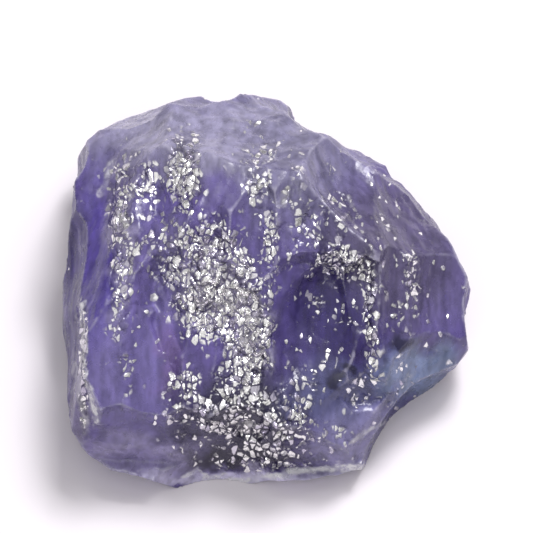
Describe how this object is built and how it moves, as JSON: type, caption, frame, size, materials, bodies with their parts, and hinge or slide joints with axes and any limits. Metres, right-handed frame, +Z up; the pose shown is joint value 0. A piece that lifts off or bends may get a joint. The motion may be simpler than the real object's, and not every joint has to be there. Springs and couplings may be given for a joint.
{
  "type": "iolite crystal",
  "caption": "Rough broken lump of violet-blue iolite with long scars, sharp glittering ridges, a dark hollow and a thin lip in front, resting on a flat break.",
  "frame": {"origin": "under the middle of the crystal's box, on the surface that it rests on", "axes": "+Z up through the crystal's least extent, +X across it to the right, -Y towards the front with the thin lip"},
  "size_m": [0.0226, 0.0218, 0.0121],
  "materials": {
    "iolite": "vitreous, see-through at thin edges, glittering where the break is hackly"
  },
  "bodies": {
    "root": {"iolite_crystal": "iolite"}
  },
  "joints": []
}
